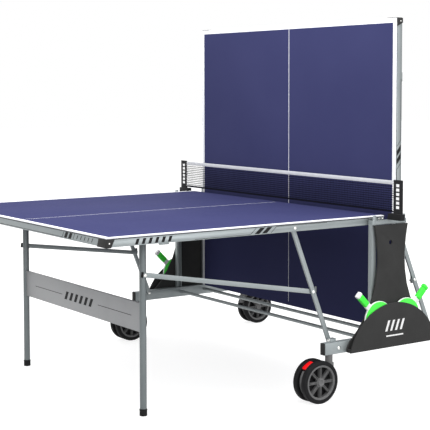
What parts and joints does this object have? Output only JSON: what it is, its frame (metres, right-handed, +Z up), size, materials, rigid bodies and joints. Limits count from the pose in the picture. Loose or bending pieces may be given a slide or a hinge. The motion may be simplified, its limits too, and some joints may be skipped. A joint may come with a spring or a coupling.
{
  "type": "folding table tennis table",
  "caption": "Folding table tennis table with one half down for play and one half folded up, a net, bat holders and a wheeled chassis.",
  "frame": {"origin": "middle of the whole table on the floor, in the pose with the front half down and the rear half up", "axes": "+X along the playing direction from the front half toward the folded half, +Y across the table to its far side, +Z up"},
  "size_m": [1.8784, 1.758, 1.6154],
  "materials": {
    "blue_top": "matt blue melamine with printed white lines",
    "silver_paint": "silver-grey powder coat",
    "panel_grey": "light grey satin coat",
    "black_plastic": "fine-grained black moulding",
    "dark_steel": "plain steel",
    "tyre": "black rubber on a dark rim",
    "red_plastic": "glossy red",
    "bat_green": "bright green with white ends",
    "net_cord": "dark open net with a white tape"
  },
  "bodies": {
    "chassis": {"near_rail": "silver_paint", "near_rail_cap_front": "black_plastic", "near_rail_cap_rear": "black_plastic", "near_guide_columns": "silver_paint", "near_holder_plate": "black_plastic", "near_pocket_front": "black_plastic", "near_net_post": "black_plastic", "far_rail": "silver_paint", "far_rail_cap_front": "black_plastic", "far_rail_cap_rear": "black_plastic", "far_guide_columns": "silver_paint", "far_holder_plate": "black_plastic", "far_pocket_front": "black_plastic", "far_net_post": "black_plastic", "front_cross_tube": "silver_paint", "rear_cross_tube": "silver_paint", "net": "net_cord"},
    "front_carriage": {"front_guide_axle": "dark_steel"},
    "front_half": {"front_board": "blue_top", "front_apron_frame": "silver_paint", "front_corner_shoe_near": "black_plastic", "front_corner_shoe_far": "black_plastic"},
    "front_legs": {"front_leg_near": "silver_paint", "front_leg_far": "silver_paint", "front_foot_near": "black_plastic", "front_foot_far": "black_plastic", "front_leg_panel": "panel_grey"},
    "front_struts": {"front_strut_near": "silver_paint", "front_strut_far": "silver_paint"},
    "front_stays": {"front_stay_near": "silver_paint", "front_stay_far": "silver_paint"},
    "rear_carriage": {"rear_guide_axle": "dark_steel"},
    "rear_half": {"rear_board": "blue_top", "rear_apron_frame": "silver_paint", "rear_corner_shoe_near": "black_plastic", "rear_corner_shoe_far": "black_plastic"},
    "rear_legs": {"rear_leg_near": "silver_paint", "rear_leg_far": "silver_paint", "rear_foot_near": "black_plastic", "rear_foot_far": "black_plastic", "rear_leg_panel": "panel_grey"},
    "rear_struts": {"rear_strut_near": "silver_paint", "rear_strut_far": "silver_paint"},
    "rear_stays": {"rear_stay_near": "silver_paint", "rear_stay_far": "silver_paint"},
    "near_front_caster": {"near_front_caster_housing": "panel_grey"},
    "near_front_wheels": {"near_front_wheel_pair": "tyre"},
    "near_front_bat": {"near_bat_front": "bat_green"},
    "near_rear_caster": {"near_rear_caster_housing": "panel_grey"},
    "near_rear_wheels": {"near_rear_wheel_pair": "tyre"},
    "near_rear_bat": {"near_bat_rear": "bat_green"},
    "near_brake": {"near_brake_tab": "red_plastic"},
    "far_front_caster": {"far_front_caster_housing": "panel_grey"},
    "far_front_wheels": {"far_front_wheel_pair": "tyre"},
    "far_front_bat": {"far_bat_front": "bat_green"},
    "far_rear_caster": {"far_rear_caster_housing": "panel_grey"},
    "far_rear_wheels": {"far_rear_wheel_pair": "tyre"},
    "far_rear_bat": {"far_bat_rear": "bat_green"},
    "far_brake": {"far_brake_tab": "red_plastic"}
  },
  "joints": [
    {"name": "front_guide_slide", "type": "slide", "parent": "chassis", "child": "front_carriage", "axis": [0, 0, 1], "range_m": [-0.4083, 0]},
    {"name": "front_half_fold", "type": "hinge", "parent": "front_carriage", "child": "front_half", "pos_m": [0.34725, 0, 0.737], "axis": [0, 1, 0], "range_deg": [0, 90]},
    {"name": "front_leg_fold", "type": "hinge", "parent": "front_half", "child": "front_legs", "pos_m": [-0.65175, 0, 0.736], "axis": [0, 1, 0], "range_deg": [-90.05, 0]},
    {"name": "front_strut_swing", "type": "hinge", "parent": "front_half", "child": "front_struts", "pos_m": [-0.05675, 0, 0.737], "axis": [0, 1, 0], "range_deg": [-45.7, 0]},
    {"name": "front_stay_swing", "type": "hinge", "parent": "front_legs", "child": "front_stays", "pos_m": [-0.65175, 0, 0.57008], "axis": [0, 1, 0], "range_deg": [0, 90.4]},
    {"name": "rear_guide_slide", "type": "slide", "parent": "chassis", "child": "rear_carriage", "axis": [0, 0, 1], "range_m": [0, 0.4083]},
    {"name": "rear_half_unfold", "type": "hinge", "parent": "rear_carriage", "child": "rear_half", "pos_m": [0.51525, 0, 0.32892], "axis": [0, 1, 0], "range_deg": [0, 90]},
    {"name": "rear_leg_fold", "type": "hinge", "parent": "rear_half", "child": "rear_legs", "pos_m": [0.51625, 0, 1.32792], "axis": [0, 1, 0], "range_deg": [-90.05, 0]},
    {"name": "rear_strut_swing", "type": "hinge", "parent": "rear_half", "child": "rear_struts", "pos_m": [0.51525, 0, 0.73292], "axis": [0, 1, 0], "range_deg": [-45.7, 0]},
    {"name": "rear_stay_swing", "type": "hinge", "parent": "rear_legs", "child": "rear_stays", "pos_m": [0.51625, 0, 1.162], "axis": [0, 1, 0], "range_deg": [0, 90.4]},
    {"name": "near_front_caster_swivel", "type": "hinge", "parent": "chassis", "child": "near_front_caster", "pos_m": [0.11025, -0.777, 0.15], "axis": [0, 0, 1], "continuous": true},
    {"name": "near_front_wheel_spin", "type": "hinge", "parent": "near_front_caster", "child": "near_front_wheels", "pos_m": [0.03925, -0.777, 0.09], "axis": [0, 1, 0], "continuous": true},
    {"name": "near_front_bat_lift", "type": "slide", "parent": "chassis", "child": "near_front_bat", "axis": [-0.7071, 0, 0.7071], "range_m": [0, 0.25]},
    {"name": "near_rear_caster_swivel", "type": "hinge", "parent": "chassis", "child": "near_rear_caster", "pos_m": [0.77125, -0.777, 0.15], "axis": [0, 0, 1], "continuous": true},
    {"name": "near_rear_wheel_spin", "type": "hinge", "parent": "near_rear_caster", "child": "near_rear_wheels", "pos_m": [0.84925, -0.777, 0.09], "axis": [0, 1, 0], "continuous": true},
    {"name": "near_rear_bat_lift", "type": "slide", "parent": "chassis", "child": "near_rear_bat", "axis": [0.7071, 0, 0.7071], "range_m": [0, 0.25]},
    {"name": "near_brake_press", "type": "hinge", "parent": "near_front_caster", "child": "near_brake", "pos_m": [0.01558, -0.777, 0.16955], "axis": [0, 1, 0], "range_deg": [-10, 0]},
    {"name": "far_front_caster_swivel", "type": "hinge", "parent": "chassis", "child": "far_front_caster", "pos_m": [0.11025, 0.777, 0.15], "axis": [0, 0, 1], "continuous": true},
    {"name": "far_front_wheel_spin", "type": "hinge", "parent": "far_front_caster", "child": "far_front_wheels", "pos_m": [0.03925, 0.777, 0.09], "axis": [0, 1, 0], "continuous": true},
    {"name": "far_front_bat_lift", "type": "slide", "parent": "chassis", "child": "far_front_bat", "axis": [-0.7071, 0, 0.7071], "range_m": [0, 0.25]},
    {"name": "far_rear_caster_swivel", "type": "hinge", "parent": "chassis", "child": "far_rear_caster", "pos_m": [0.77125, 0.777, 0.15], "axis": [0, 0, 1], "continuous": true},
    {"name": "far_rear_wheel_spin", "type": "hinge", "parent": "far_rear_caster", "child": "far_rear_wheels", "pos_m": [0.84925, 0.777, 0.09], "axis": [0, 1, 0], "continuous": true},
    {"name": "far_rear_bat_lift", "type": "slide", "parent": "chassis", "child": "far_rear_bat", "axis": [0.7071, 0, 0.7071], "range_m": [0, 0.25]},
    {"name": "far_brake_press", "type": "hinge", "parent": "far_front_caster", "child": "far_brake", "pos_m": [0.01558, 0.777, 0.16955], "axis": [0, 1, 0], "range_deg": [-10, 0]}
  ],
  "couplings": [
    {"joint": "front_guide_slide", "follows": "front_half_fold", "m_per_rad": -0.25979},
    {"joint": "front_leg_fold", "follows": "front_half_fold", "ratio": -1},
    {"joint": "front_strut_swing", "follows": "front_half_fold", "ratio": -0.50664},
    {"joint": "front_stay_swing", "follows": "front_half_fold", "ratio": 1.0036},
    {"joint": "rear_guide_slide", "follows": "rear_half_unfold", "m_per_rad": 0.25979},
    {"joint": "rear_leg_fold", "follows": "rear_half_unfold", "ratio": -1},
    {"joint": "rear_strut_swing", "follows": "rear_half_unfold", "ratio": -0.50664},
    {"joint": "rear_stay_swing", "follows": "rear_half_unfold", "ratio": 1.0036}
  ]
}
